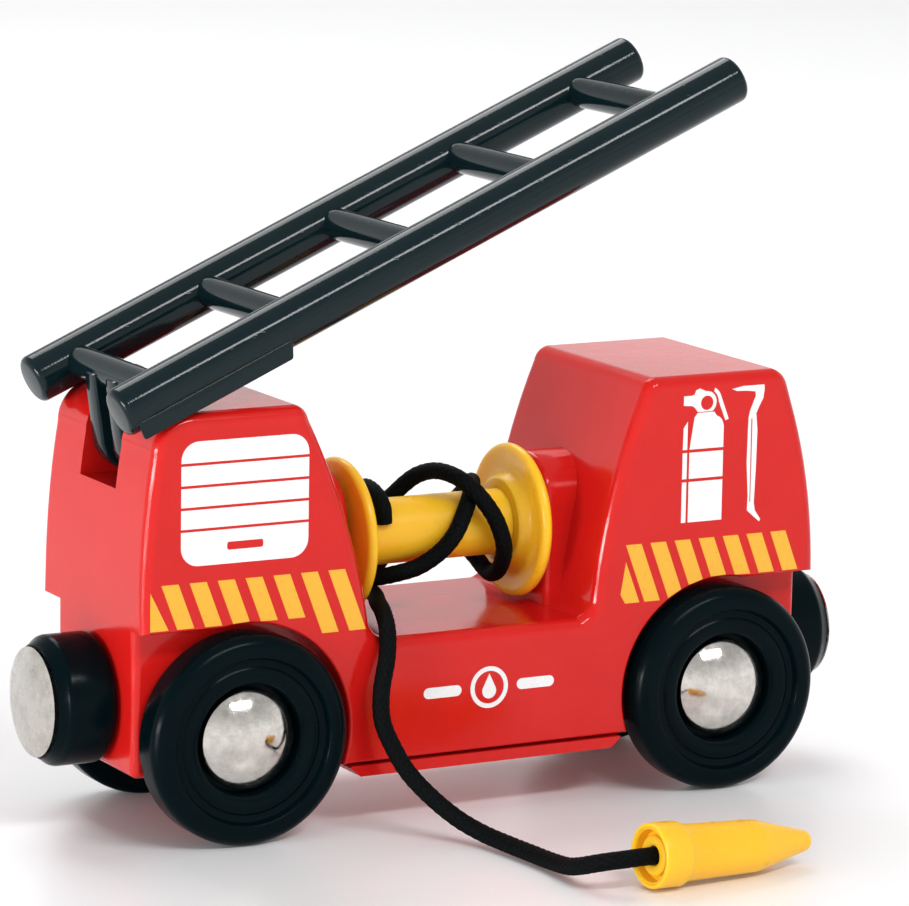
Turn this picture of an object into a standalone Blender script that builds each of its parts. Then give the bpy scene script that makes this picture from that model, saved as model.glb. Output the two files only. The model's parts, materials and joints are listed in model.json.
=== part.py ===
"""Toy fire engine for a wooden railway: body, running gear, ladder, hose reel and hose.

Metres, +Z up.  +X runs towards the front, the origin is on the floor under the
middle of the vehicle, and every named object is one solid piece.
"""
import math

import bmesh
import bpy
from mathutils import Matrix, Vector

# ---- driving dimensions ----------------------------------------------------
HALF_BASE = 0.0291          # axle to middle of the vehicle
WHEEL_RADIUS = 0.0114
WHEEL_INNER_Y = 0.0102
WHEEL_WIDTH = 0.00465
AXLE_RADIUS = 0.0015
FIT = 0.0003                # clearance between neighbouring pieces

BODY_HALF_WIDTH = 0.0128
REAR_FOOT_X = 0.0143        # feet and tops of the two tower faces towards the reel
REAR_TOP_X = 0.0217
FRONT_FOOT_X = 0.0130
FRONT_TOP_X = 0.01875
CORE_HALF_WIDTH = 0.0097    # narrow part between the wheels
CORE_HALF_LENGTH = 0.0407
TOWER_END = 0.0120          # from axle to the tower's end, at its foot
TOWER_FOOT_Z = 0.0234
TOWER_TOP_Z = 0.0464
DECK_Z = 0.0205
SKIRT_Z = 0.0073
ARCH_RADIUS = 0.0123
WALL = 0.0018
EDGE_ROUND = 0.0009

PLATE_BOTTOM_Z = 0.0058
PLATE_HALF_LENGTH = 0.0166

PIVOT = Vector((-0.0354, 0.0, 0.0420))
PIVOT_TO_RAIL = 0.00735     # pivot axis to the plane of the rails
CORNER_RADIUS = 0.0044      # tower corner, concentric with the pivot
LADDER_TILT = math.radians(23.6)
RAIL_RADIUS = 0.00265
RAIL_Y = 0.0110
LADDER_TAIL = 0.0053        # below the first rung
LADDER_HEAD = 0.0747        # from the first rung to the far end
RUNG_PITCH = 0.01655
RUNG_RADIUS = 0.00172
RUNGS = 5
LUG_RADIUS = 0.0040
LUG_INNER_Y = 0.0013
LUG_OUTER_Y = 0.0039
LUG_PIN_RADIUS = 0.0010
SLOT_HALF_WIDTH = 0.0045
SLOT_BOTTOM_Z = 0.0375
SLOT_END_X = -0.0309

REEL_Z = 0.0294
REEL_REAR_X = -0.0125
REEL_FRONT_X = 0.0102
FLANGE_RADIUS = 0.0085
SPINDLE_RADIUS = 0.0036
REEL_AXLE_RADIUS = 0.0015
PILLAR_HALF_WIDTH = 0.0052
PILLAR_GAP = 0.0008

COUPLING_Z = 0.0144
SLEEVE_RADIUS = 0.0070
FACE_RADIUS = 0.00587
COUPLING_REACH = 0.0489     # dome of the coupling face from the middle

HOSE_RADIUS = 0.00095
NOZZLE_START = Vector((0.0002, -0.0466, 0.00362))
NOZZLE_TIP = Vector((0.0204, -0.0452, 0.0027))

SCREW_PLACES = [(x, y) for x in (-0.011, 0.011) for y in (-0.0048, 0.0048)]

# name: (colour, roughness, metallic)
MATERIALS = {
    "red_plastic": ((0.62, 0.018, 0.014), 0.22, 0.0),
    "black_plastic": ((0.006, 0.009, 0.010), 0.25, 0.0),
    "ladder_plastic": ((0.008, 0.024, 0.027), 0.28, 0.0),
    "yellow_plastic": ((0.88, 0.46, 0.03), 0.30, 0.0),
    "chrome": ((0.75, 0.74, 0.72), 0.10, 1.0),
    "steel": ((0.55, 0.55, 0.56), 0.30, 1.0),
    "magnet_grey": ((0.16, 0.16, 0.17), 0.45, 0.6),
    "hose_braid": ((0.010, 0.011, 0.012), 0.70, 0.0),
}


# ---- tools -----------------------------------------------------------------
def clear_scene():
    for item in list(bpy.data.objects):
        bpy.data.objects.remove(item, do_unlink=True)


def material(name):
    found = bpy.data.materials.get(name)
    if found:
        return found
    colour, roughness, metallic = MATERIALS[name]
    made = bpy.data.materials.new(name)
    made.use_nodes = True
    shader = made.node_tree.nodes["Principled BSDF"]
    shader.inputs["Base Color"].default_value = (*colour, 1.0)
    shader.inputs["Roughness"].default_value = roughness
    shader.inputs["Metallic"].default_value = metallic
    made.diffuse_color = (*colour, 1.0)
    return made


def add_object(name, bm, finish=None, smooth_angle=35.0):
    bmesh.ops.recalc_face_normals(bm, faces=bm.faces)
    mesh = bpy.data.meshes.new(name)
    bm.to_mesh(mesh)
    bm.free()
    if finish:
        mesh.materials.append(material(finish))
    mesh.shade_smooth()
    mesh.set_sharp_from_angle(angle=math.radians(smooth_angle))
    made = bpy.data.objects.new(name, mesh)
    bpy.context.collection.objects.link(made)
    return made


def arc(cx, cz, radius, start, end, steps):
    """Points of an arc in the XZ plane, angles in degrees from +X."""
    points = []
    for i in range(steps + 1):
        angle = math.radians(start + (end - start) * i / steps)
        points.append((cx + radius * math.cos(angle), cz + radius * math.sin(angle)))
    return points


def bulged(start, end, rise, steps):
    """Points from start to end on a shallow curve that rises to the left of the chord."""
    ax, az = start
    bx, bz = end
    length = math.hypot(bx - ax, bz - az)
    nx, nz = -(bz - az) / length, (bx - ax) / length
    points = []
    for i in range(steps + 1):
        t = i / steps
        lift = rise * 4.0 * t * (1.0 - t)
        points.append((ax + (bx - ax) * t + nx * lift, az + (bz - az) * t + nz * lift))
    return points


def prism(name, outline, y_low, y_high, finish=None, edge_round=0.0, round_steps=2):
    """Extrude an XZ outline along Y, with its two outer rims rounded."""
    bm = bmesh.new()
    verts = [bm.verts.new((x, y_low, z)) for x, z in outline]
    face = bm.faces.new(verts)
    grown = bmesh.ops.extrude_face_region(bm, geom=[face])["geom"]
    moved = [v for v in grown if isinstance(v, bmesh.types.BMVert)]
    bmesh.ops.translate(bm, verts=moved, vec=(0.0, y_high - y_low, 0.0))
    if edge_round > 0.0:
        rims = [e for e in bm.edges if abs(e.verts[0].co.y - e.verts[1].co.y) < 1e-7]
        bmesh.ops.bevel(bm, geom=rims, offset=edge_round, segments=round_steps,
                        profile=0.5, affect="EDGES", clamp_overlap=True)
    return add_object(name, bm, finish)


def box(name, low, high):
    bm = bmesh.new()
    bmesh.ops.create_cube(bm, size=1.0)
    size = Vector(high) - Vector(low)
    middle = (Vector(high) + Vector(low)) / 2.0
    bmesh.ops.scale(bm, verts=bm.verts, vec=size)
    bmesh.ops.translate(bm, verts=bm.verts, vec=middle)
    return add_object(name, bm)


def lathe(name, profile, axis, finish=None, steps=28, place=(0.0, 0.0, 0.0)):
    """Turn a (radius, height) profile about an axis; radius 0 closes it on the axis."""
    bm = bmesh.new()
    verts = [bm.verts.new((r, 0.0, h)) for r, h in profile]
    open_profile = profile[0][0] < 1e-9 and profile[-1][0] < 1e-9
    pairs = list(zip(verts, verts[1:]))
    if not open_profile:
        pairs.append((verts[-1], verts[0]))
    edges = [bm.edges.new(pair) for pair in pairs]
    bmesh.ops.spin(bm, geom=verts + edges, cent=(0, 0, 0), axis=(0, 0, 1),
                   angle=2.0 * math.pi, steps=steps, use_merge=True)
    bmesh.ops.remove_doubles(bm, verts=bm.verts, dist=1e-6)
    turn = Vector((0, 0, 1)).rotation_difference(Vector(axis)).to_matrix()
    bmesh.ops.rotate(bm, verts=bm.verts, cent=(0, 0, 0), matrix=turn)
    made = add_object(name, bm, finish)
    made.location = place
    return made


def rod(name, radius, start, end, finish=None, steps=16, chamfer=0.0):
    """Solid round bar between two points."""
    start, end = Vector(start), Vector(end)
    length = (end - start).length
    side = [(radius, 0.0), (radius, length)]
    if chamfer > 0.0:
        side = [(radius - chamfer, 0.0), (radius, chamfer),
                (radius, length - chamfer), (radius - chamfer, length)]
    profile = [(0.0, 0.0), *side, (0.0, length)]
    return lathe(name, profile, (end - start).normalized(), finish, steps, start)


def combine(target, tool, operation):
    """Apply one Boolean to the target's mesh and drop the tool."""
    tool.hide_render = True
    tool.display_type = "WIRE"
    step = target.modifiers.new("combine", "BOOLEAN")
    step.object = tool
    step.operation = operation
    step.solver = "EXACT"
    bpy.context.view_layer.update()
    evaluated = target.evaluated_get(bpy.context.evaluated_depsgraph_get())
    result = bpy.data.meshes.new_from_object(evaluated)
    target.modifiers.clear()
    old = target.data
    target.data = result
    result.name = old.name
    bpy.data.meshes.remove(old)
    bpy.data.objects.remove(tool, do_unlink=True)
    return target


def cut(target, tool):
    return combine(target, tool, "DIFFERENCE")


def fuse(target, tool):
    return combine(target, tool, "UNION")


def move_origin(item, point):
    """Put an object's origin on its joint axis without moving its surface."""
    bpy.context.view_layer.update()
    shift = item.matrix_world.inverted() @ Vector(point)
    item.data.transform(Matrix.Translation(-shift))
    item.matrix_world = item.matrix_world @ Matrix.Translation(shift)
    return item


# ---- body shell ------------------------------------------------------------
def inner_slope(sign, foot_x, top_x):
    """Tower face towards the reel, from the deck up; sign -1 rear, +1 front."""
    foot = (sign * foot_x, 0.0222)
    head = (sign * top_x, TOWER_TOP_Z - 0.0016)
    return bulged(foot, head, sign * 0.0009, 5)


def end_curve(sign, radius, straight_z, top_z):
    """Gently curved outer end of a tower, from its foot up."""
    foot_x = HALF_BASE + TOWER_END
    points = []
    for i in range(5):
        z = TOWER_FOOT_Z + (top_z - TOWER_FOOT_Z) * i / 4
        lean = radius - math.sqrt(radius * radius - max(z - straight_z, 0.0) ** 2)
        points.append((sign * (foot_x - lean), z))
    return points


def body_outline():
    """Side view of the upper body, clockwise from the rear tower's foot."""
    deck_run = 0.0019
    outline = end_curve(-1, 0.098, 0.026, PIVOT.z)
    outline += arc(PIVOT.x, PIVOT.z, CORNER_RADIUS, 180, 90, 6)[1:]
    outline += bulged((-REAR_TOP_X - 0.0016, TOWER_TOP_Z),
                      (-REAR_TOP_X, TOWER_TOP_Z - 0.0016), 0.00035, 3)[:-1]
    outline += list(reversed(inner_slope(-1, REAR_FOOT_X, REAR_TOP_X)))
    outline += bulged((-REAR_FOOT_X, 0.0222), (-REAR_FOOT_X + deck_run, DECK_Z), -0.0003, 3)[1:]
    outline += bulged((FRONT_FOOT_X - deck_run, DECK_Z), (FRONT_FOOT_X, 0.0222), -0.0003, 3)[:-1]
    outline += inner_slope(1, FRONT_FOOT_X, FRONT_TOP_X)
    outline += bulged((FRONT_TOP_X, TOWER_TOP_Z - 0.0016),
                      (FRONT_TOP_X + 0.0016, TOWER_TOP_Z), 0.00035, 3)[1:]
    outline += bulged((0.0355, TOWER_TOP_Z), (0.0374, TOWER_TOP_Z - 0.0020), 0.0004, 3)
    outline += list(reversed(end_curve(1, 0.057, 0.024, 0.0444)))[1:]
    over = math.degrees(math.asin((TOWER_FOOT_Z - WHEEL_RADIUS) / ARCH_RADIUS))
    under = math.degrees(math.asin((WHEEL_RADIUS - SKIRT_Z) / ARCH_RADIUS))
    outline += arc(HALF_BASE, WHEEL_RADIUS, ARCH_RADIUS, over, 180 + under, 12)
    outline += arc(-HALF_BASE, WHEEL_RADIUS, ARCH_RADIUS, -under, 180 - over, 12)
    return outline


def pillar(name, face_x, root_x):
    """Round-topped pillar that carries one end of the reel axle."""
    bm = bmesh.new()
    half = PILLAR_HALF_WIDTH
    ring = [(-half, DECK_Z - 0.0006), (half, DECK_Z - 0.0006)]
    ring += [(y, z) for y, z in arc(0.0, REEL_Z + 0.0024, half, 0, 180, 10)]
    low, high = sorted((face_x, root_x))
    face = bm.faces.new([bm.verts.new((low, y, z)) for y, z in ring])
    grown = bmesh.ops.extrude_face_region(bm, geom=[face])["geom"]
    moved = [v for v in grown if isinstance(v, bmesh.types.BMVert)]
    bmesh.ops.translate(bm, verts=moved, vec=(high - low, 0.0, 0.0))
    return add_object(name, bm)


def tower_cavity(sign):
    """Inside of one tower, narrow below the block's foot and wide above it."""
    top_x = REAR_TOP_X if sign < 0 else FRONT_TOP_X
    foot = (sign * 0.0160, 0.0190)
    head = (sign * (top_x + 0.0030), TOWER_TOP_Z - WALL)
    outer_top_x = 0.0352
    outline = [foot, head, (sign * outer_top_x, TOWER_TOP_Z - WALL),
               (sign * 0.0378, 0.0400), (sign * 0.0389, 0.0330), (sign * 0.0389, 0.0190)]
    wide = [(x, max(z, TOWER_FOOT_Z + WALL)) for x, z in outline]
    name = "rear" if sign < 0 else "front"
    hollow = prism(f"cut_{name}_wide", wide, -0.0108, 0.0108)
    lower = box(f"cut_{name}_lower", (min(sign * 0.0160, sign * 0.0389), -0.0079, 0.0170),
                (max(sign * 0.0160, sign * 0.0389), 0.0079, 0.0262))
    return fuse(hollow, lower)


def body_shell():
    shell = prism("body_shell", body_outline(), -BODY_HALF_WIDTH, BODY_HALF_WIDTH,
                  "red_plastic", EDGE_ROUND, 2)
    core = box("core", (-CORE_HALF_LENGTH, -CORE_HALF_WIDTH, SKIRT_Z),
               (CORE_HALF_LENGTH, CORE_HALF_WIDTH, DECK_Z - 0.0010))
    for sign in (-1, 1):
        near, far = sorted((sign * 0.0150, sign * CORE_HALF_LENGTH))
        fuse(core, box("core_end", (near, -CORE_HALF_WIDTH, SKIRT_Z),
                       (far, CORE_HALF_WIDTH, TOWER_FOOT_Z + 0.0010)))
    fuse(shell, core)
    fuse(shell, pillar("rear_pillar", REEL_REAR_X - PILLAR_GAP, -0.0181))
    fuse(shell, pillar("front_pillar", REEL_FRONT_X + PILLAR_GAP, 0.0166))

    rear_room = tower_cavity(-1)
    cut(rear_room, box("slot_wall", (-0.0420, -0.0059, SLOT_BOTTOM_Z - 0.0015),
                       (SLOT_END_X + 0.0015, 0.0059, 0.0500)))
    cut(shell, rear_room)
    cut(shell, tower_cavity(1))
    cut(shell, box("cut_core", (-0.0389, -0.0079, 0.0060), (0.0389, 0.0079, DECK_Z - WALL)))
    cut(shell, box("cut_middle", (-0.0150, -0.0098, 0.0060), (0.0150, 0.0098, DECK_Z - WALL)))

    slot = box("cut_slot", (-0.0440, -SLOT_HALF_WIDTH, SLOT_BOTTOM_Z),
               (SLOT_END_X, SLOT_HALF_WIDTH, 0.0490))
    cut(shell, slot)
    cut(shell, rod("cut_pin", LUG_PIN_RADIUS + FIT, PIVOT - Vector((0, 0.0070, 0)),
                   PIVOT + Vector((0, 0.0070, 0)), steps=16))
    for side in (-1, 1):
        cut(shell, rod("cut_axle", AXLE_RADIUS + FIT, (side * HALF_BASE, -0.0150, WHEEL_RADIUS),
                       (side * HALF_BASE, 0.0150, WHEEL_RADIUS), steps=16))
        cut(shell, rod("cut_coupling", 0.0011, (side * 0.0370, 0.0, COUPLING_Z),
                       (side * 0.0440, 0.0, COUPLING_Z), steps=12))
    cut(shell, rod("cut_reel_axle", REEL_AXLE_RADIUS + FIT, (-0.0205, 0.0, REEL_Z),
                   (0.0205, 0.0, REEL_Z), steps=16))
    for number, (x, y) in enumerate(SCREW_PLACES):
        post = rod(f"post_{number}", 0.0021, (x, y, 0.0089), (x, y, DECK_Z - 0.0010), steps=12)
        fuse(shell, post)
        cut(shell, rod(f"cut_post_{number}", 0.0012, (x, y, 0.0080), (x, y, 0.0170), steps=10))
    shell.data.materials.clear()
    shell.data.materials.append(material("red_plastic"))
    shell.data.shade_smooth()
    shell.data.set_sharp_from_angle(angle=math.radians(30.0))
    return shell


def base_plate():
    """Closing plate: a wide chamfered middle under the skirts, a narrow tongue each way."""
    top = SKIRT_Z - FIT
    chamfer = 0.0012
    half = PLATE_HALF_LENGTH
    outline = [(-half, top), (half, top), (half, top - 0.0002), (half - chamfer, PLATE_BOTTOM_Z),
               (-half + chamfer, PLATE_BOTTOM_Z), (-half, top - 0.0002)]
    plate = prism("base_plate", outline, -BODY_HALF_WIDTH, BODY_HALF_WIDTH, "red_plastic")
    fuse(plate, box("riser", (-0.0147, -0.0076, top - 0.0004), (0.0147, 0.0076, 0.0086)))
    fuse(plate, box("tongue", (-0.0386, -0.0076, SKIRT_Z), (0.0386, 0.0076, 0.0086)))
    for number, (x, y) in enumerate(SCREW_PLACES):
        cut(plate, rod(f"cut_head_{number}", 0.0022, (x, y, 0.0050), (x, y, 0.0070), steps=14))
        cut(plate, rod(f"cut_shank_{number}", 0.0012, (x, y, 0.0060), (x, y, 0.0100), steps=10))
    return plate


def base_screws():
    for number, (x, y) in enumerate(SCREW_PLACES, start=1):
        profile = [(0.0, 0.0061), (0.0015, 0.0061), (0.0019, 0.0064), (0.0019, 0.0067),
                   (0.0009, 0.0067), (0.0009, 0.0158), (0.0, 0.0164)]
        lathe(f"base_screw_{number}", profile, (0, 0, 1), "steel", 14, (x, y, 0.0))


# ---- running gear ----------------------------------------------------------
def wheel_profile():
    """Half section of a wheel: (radius, distance out from the inner face)."""
    rim, width = WHEEL_RADIUS, WHEEL_WIDTH
    return [(AXLE_RADIUS + FIT, 0.0), (rim - 0.0009, 0.0), (rim, 0.0008), (rim, width - 0.0013),
            (rim - 0.0004, width - 0.0004), (rim - 0.0013, width), (0.0089, width),
            (0.00846, width - 0.0005), (0.0065, width - 0.0005), (0.0059, width - 0.0011),
            (0.0058, 0.0020), (AXLE_RADIUS + FIT, 0.0020)]


def cap_profile():
    """Domed hub cap: a disc with a low round dome."""
    dome = [(0.0053, 0.0033), (0.0049, 0.0040), (0.0040, 0.00455), (0.0027, 0.00495),
            (0.0013, 0.0051), (0.0, 0.00515)]
    return [(0.0, 0.0023), (0.0054, 0.0023), (0.0054, 0.0031)] + dome


def running_gear():
    for end, sign in (("rear", -1), ("front", 1)):
        centre = Vector((sign * HALF_BASE, 0.0, WHEEL_RADIUS))
        reach = WHEEL_INNER_Y + 0.0019
        axle = rod(f"{end}_axle", AXLE_RADIUS, centre - Vector((0, reach, 0)),
                   centre + Vector((0, reach, 0)), "steel", 16, 0.0002)
        move_origin(axle, centre)
        for side, out in (("left", 1), ("right", -1)):
            place = centre + Vector((0, out * WHEEL_INNER_Y, 0))
            wheel = lathe(f"{end}_wheel_{side}", wheel_profile(), (0, out, 0),
                          "black_plastic", 32, place)
            cap = lathe(f"{end}_hub_cap_{side}", cap_profile(), (0, out, 0),
                        "chrome", 20, place)
            move_origin(wheel, centre)
            move_origin(cap, centre)


def couplings():
    """Magnetic coupling at each end: sleeve, magnet, domed face and pin."""
    start = CORE_HALF_LENGTH + FIT
    for end, sign in (("rear", -1), ("front", 1)):
        axis = (sign, 0, 0)
        place = (0.0, 0.0, COUPLING_Z)
        sleeve = [(0.0011, start), (SLEEVE_RADIUS - 0.0006, start), (SLEEVE_RADIUS, start + 0.0006),
                  (SLEEVE_RADIUS, 0.0458), (0.0067, 0.0465), (0.0062, 0.0472), (0.0058, 0.0475),
                  (0.0055, 0.0472), (0.0055, 0.0430), (0.0011, 0.0430)]
        lathe(f"{end}_coupling_sleeve", sleeve, axis, "black_plastic", 28, place)
        magnet = [(0.0011, 0.0433), (0.0052, 0.0433), (0.0052, 0.0472), (0.0011, 0.0472)]
        lathe(f"{end}_coupling_magnet", magnet, axis, "magnet_grey", 20, place)
        rim, tip = 0.0482, COUPLING_REACH
        face = [(0.0, 0.0478), (FACE_RADIUS, 0.0478), (FACE_RADIUS, rim),
                (0.0050, rim + 0.45 * (tip - rim)), (0.0032, rim + 0.80 * (tip - rim)),
                (0.0016, rim + 0.95 * (tip - rim)), (0.0, tip)]
        lathe(f"{end}_coupling_face", face, axis, "chrome", 28, place)
        pin = [(0.0, 0.0376), (0.0018, 0.0376), (0.0018, 0.0386), (0.0008, 0.0386),
               (0.0008, 0.0472), (0.0, 0.0472)]
        lathe(f"{end}_coupling_pin", pin, axis, "steel", 12, place)


# ---- ladder ----------------------------------------------------------------
def ladder_point(along, y, above):
    """A point of the ladder from its own axes: along the rails, across, off their plane."""
    c, s = math.cos(LADDER_TILT), math.sin(LADDER_TILT)
    off = PIVOT_TO_RAIL + above
    return PIVOT + Vector((along * c - off * s, y, along * s + off * c))


def lug_outline():
    """Tapered lug: round about the pivot, narrowing to the first rung."""
    points = []
    for angle in [170 + 200 * i / 12 for i in range(13)]:
        a = math.radians(angle)
        points.append((LUG_RADIUS * math.cos(a), LUG_RADIUS * math.sin(a) - PIVOT_TO_RAIL))
    points += [(0.0019, 0.0006), (-0.0019, 0.0006)]
    return points


def ladder_prism(name, outline, y_low, y_high):
    """Extrude an outline given in the ladder's own (along, above) axes."""
    placed = []
    for along, above in outline:
        point = ladder_point(along, 0.0, above)
        placed.append((point.x, point.z))
    return prism(name, placed, y_low, y_high)


def ladder():
    rails = []
    for y in (-RAIL_Y, RAIL_Y):
        rails.append(rod("rail", RAIL_RADIUS, ladder_point(-LADDER_TAIL, y, 0.0),
                         ladder_point(LADDER_HEAD, y, 0.0), "ladder_plastic", 16, 0.0007))
    body, other = rails
    body.name = "ladder"
    bpy.context.view_layer.update()
    body.data.transform(body.matrix_world)
    body.matrix_world = Matrix.Identity(4)
    fuse(body, other)
    for number in range(RUNGS):
        along = number * RUNG_PITCH
        fuse(body, rod(f"rung_{number}", RUNG_RADIUS, ladder_point(along, -RAIL_Y, 0.0),
                       ladder_point(along, RAIL_Y, 0.0), steps=12))
    lip = [(-LADDER_TAIL + 0.0009, -0.0032), (RUNG_PITCH - 0.0024, -0.0032),
           (RUNG_PITCH - 0.0016, -0.0006), (-LADDER_TAIL + 0.0009, -0.0006)]
    for side in (-1, 1):
        low, high = sorted((side * 0.0131, side * 0.0137))
        fuse(body, ladder_prism("lip", lip, low, high))
        low, high = sorted((side * LUG_INNER_Y, side * LUG_OUTER_Y))
        fuse(body, ladder_prism("lug", lug_outline(), low, high))
    cut(body, rod("cut_lug", LUG_PIN_RADIUS + FIT, PIVOT - Vector((0, 0.006, 0)),
                  PIVOT + Vector((0, 0.006, 0)), steps=16))
    body.data.materials.clear()
    body.data.materials.append(material("ladder_plastic"))
    body.data.shade_smooth()
    body.data.set_sharp_from_angle(angle=math.radians(35.0))
    move_origin(body, PIVOT)
    rod("ladder_pivot_pin", LUG_PIN_RADIUS, PIVOT - Vector((0, 0.0058, 0)),
        PIVOT + Vector((0, 0.0058, 0)), "steel", 14, 0.0002)
    return body


# ---- hose reel -------------------------------------------------------------
def reel():
    bore = REEL_AXLE_RADIUS + FIT
    rear, front = REEL_REAR_X, REEL_FRONT_X
    rim = FLANGE_RADIUS
    spool = [(bore, rear), (0.0062, rear), (0.0074, rear + 0.0001), (rim - 0.0003, rear + 0.0003),
             (rim, rear + 0.0007), (rim - 0.0003, rear + 0.0012), (0.0077, rear + 0.0013),
             (0.0060, rear + 0.0010), (0.0053, rear + 0.0012), (0.0049, rear + 0.0022),
             (SPINDLE_RADIUS, rear + 0.0024), (SPINDLE_RADIUS, front - 0.0026),
             (0.0028, front - 0.0026), (0.0028, front - 0.0002), (bore, front - 0.0002)]
    lathe("reel_spool", spool, (1, 0, 0), "yellow_plastic", 32, (0.0, 0.0, REEL_Z))
    flange = [(0.0031, front - 0.0023), (0.0049, front - 0.0023), (0.0053, front - 0.0012),
              (0.0060, front - 0.0010), (0.0077, front - 0.0013), (rim - 0.0003, front - 0.0012),
              (rim, front - 0.0007), (rim - 0.0003, front - 0.0003), (0.0074, front - 0.0001),
              (0.0062, front), (0.0031, front)]
    lathe("reel_flange", flange, (1, 0, 0), "yellow_plastic", 32, (0.0, 0.0, REEL_Z))
    rod("reel_axle", REEL_AXLE_RADIUS, (-0.0192, 0.0, REEL_Z), (0.0190, 0.0, REEL_Z),
        "steel", 16, 0.0002)


# Hose wound on the reel: along X, angle up from the side that faces -Y, radius.
HOSE_WOUND = [
    (-0.0081, 14, 0.00490), (-0.0083, 38, 0.00490), (-0.0083, 66, 0.00495),
    (-0.0080, 96, 0.00495), (-0.0068, 126, 0.00490), (-0.0048, 156, 0.00490),
    (-0.0025, 186, 0.00490), (0.0000, 216, 0.00490), (0.0024, 246, 0.00500),
    (0.0046, 274, 0.00545), (0.0063, 290, 0.00590), (0.0070, 312, 0.00585),
    (0.0066, 334, 0.00560), (0.0061, 354, 0.00535), (0.0053, 376, 0.00530),
    (0.0043, 396, 0.00590), (0.0031, 418, 0.00670), (0.0017, 438, 0.00625),
    (0.0002, 456, 0.00560), (-0.0016, 476, 0.00600), (-0.0040, 498, 0.00695),
    (-0.0064, 522, 0.00670), (-0.0082, 550, 0.00560), (-0.0090, 582, 0.00500),
    (-0.0090, 612, 0.00495), (-0.0080, 645, 0.00500), (-0.0062, 668, 0.00520),
    (-0.0042, 678, 0.00520), (-0.0024, 692, 0.00500), (-0.0010, 708, 0.00490),
    (0.0002, 726, 0.00488), (0.0014, 748, 0.00485), (0.0027, 774, 0.00485),
    (0.0034, 804, 0.00485), (0.0030, 834, 0.00485), (0.0016, 864, 0.00485),
    (-0.0006, 892, 0.00485), (-0.0030, 918, 0.00500), (-0.0052, 944, 0.00560),
    (-0.0070, 968, 0.00650),
]

# Hose from the reel over the deck's edge to the floor and into the nozzle.
HOSE_FREE = [
    (-0.0085, -0.0022, 0.02290), (-0.0100, -0.0058, 0.02290), (-0.0114, -0.0097, 0.02270),
    (-0.0126, -0.0130, 0.02150), (-0.0135, -0.0147, 0.01900), (-0.0144, -0.0153, 0.01570),
    (-0.0145, -0.0157, 0.01260), (-0.0137, -0.0164, 0.01000), (-0.0124, -0.0178, 0.00710),
    (-0.0106, -0.0198, 0.00465), (-0.0087, -0.0220, 0.00270), (-0.0070, -0.0246, 0.00150),
    (-0.0061, -0.0284, 0.00115), (-0.0056, -0.0324, 0.00110), (-0.0053, -0.0362, 0.00115),
    (-0.0053, -0.0398, 0.00150), (-0.0053, -0.0426, 0.00225), (-0.0050, -0.0442, 0.00280),
    (-0.0041, -0.0455, 0.00325), (-0.0026, -0.0463, 0.00350), (-0.0006, -0.0465, 0.00358),
    (0.0016, -0.0465, 0.00356),
]


def wound_point(x, angle, radius):
    a = math.radians(angle)
    return Vector((x, -radius * math.cos(a), REEL_Z + radius * math.sin(a)))


def smooth_route(points, spacing):
    """Points at even spacing along a Catmull-Rom curve through the given ones."""
    padded = [points[0] * 2 - points[1]] + points + [points[-1] * 2 - points[-2]]
    fine = []
    for i in range(1, len(padded) - 2):
        a, b, c, d = padded[i - 1:i + 3]
        for k in range(12):
            t = k / 12
            fine.append(0.5 * (2 * b + (c - a) * t + (2 * a - 5 * b + 4 * c - d) * t * t
                               + (3 * b - a - 3 * c + d) * t ** 3))
    fine.append(points[-1])
    lengths = [0.0]
    for p, q in zip(fine, fine[1:]):
        lengths.append(lengths[-1] + (q - p).length)
    count = max(2, round(lengths[-1] / spacing))
    route, j = [], 0
    for n in range(count + 1):
        want = lengths[-1] * n / count
        while j < len(lengths) - 2 and lengths[j + 1] < want:
            j += 1
        span = lengths[j + 1] - lengths[j]
        route.append(fine[j].lerp(fine[j + 1], (want - lengths[j]) / span if span else 0.0))
    return route


def hose():
    points = [wound_point(*turn) for turn in HOSE_WOUND] + [Vector(p) for p in HOSE_FREE]
    route = smooth_route(points, 0.0024)
    curve = bpy.data.curves.new("hose", "CURVE")
    curve.dimensions = "3D"
    curve.bevel_depth = HOSE_RADIUS
    curve.bevel_resolution = 2
    curve.use_fill_caps = True
    spline = curve.splines.new("POLY")
    spline.points.add(len(route) - 1)
    for target, point in zip(spline.points, route):
        target.co = (*point, 1.0)
    curve.materials.append(material("hose_braid"))
    made = bpy.data.objects.new("hose", curve)
    bpy.context.collection.objects.link(made)
    return made


def hose_nozzle():
    """Collar, barrel and taper, with a socket for the hose in its back."""
    axis = (NOZZLE_TIP - NOZZLE_START).normalized()
    length = (NOZZLE_TIP - NOZZLE_START).length
    socket = HOSE_RADIUS + FIT
    profile = [(0.0, 0.0022), (socket, 0.0022), (socket, 0.0), (0.0030, 0.0), (0.0034, 0.0004),
               (0.0034, 0.0037), (0.0031, 0.0040), (0.0030, 0.0053), (0.0028, 0.0128),
               (0.0026, 0.0140), (0.0010, length - 0.0010), (0.0007, length), (0.0, length)]
    return lathe("hose_nozzle", profile, axis, "yellow_plastic", 20, NOZZLE_START)


clear_scene()
body_shell()
base_plate()
base_screws()
running_gear()
couplings()
ladder()
reel()
hose()
hose_nozzle()
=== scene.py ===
"""Looks of the toy fire engine: fine surfaces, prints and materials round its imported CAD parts."""
import json
import math

import bmesh
import bpy
from mathutils import Matrix, Vector


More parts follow.
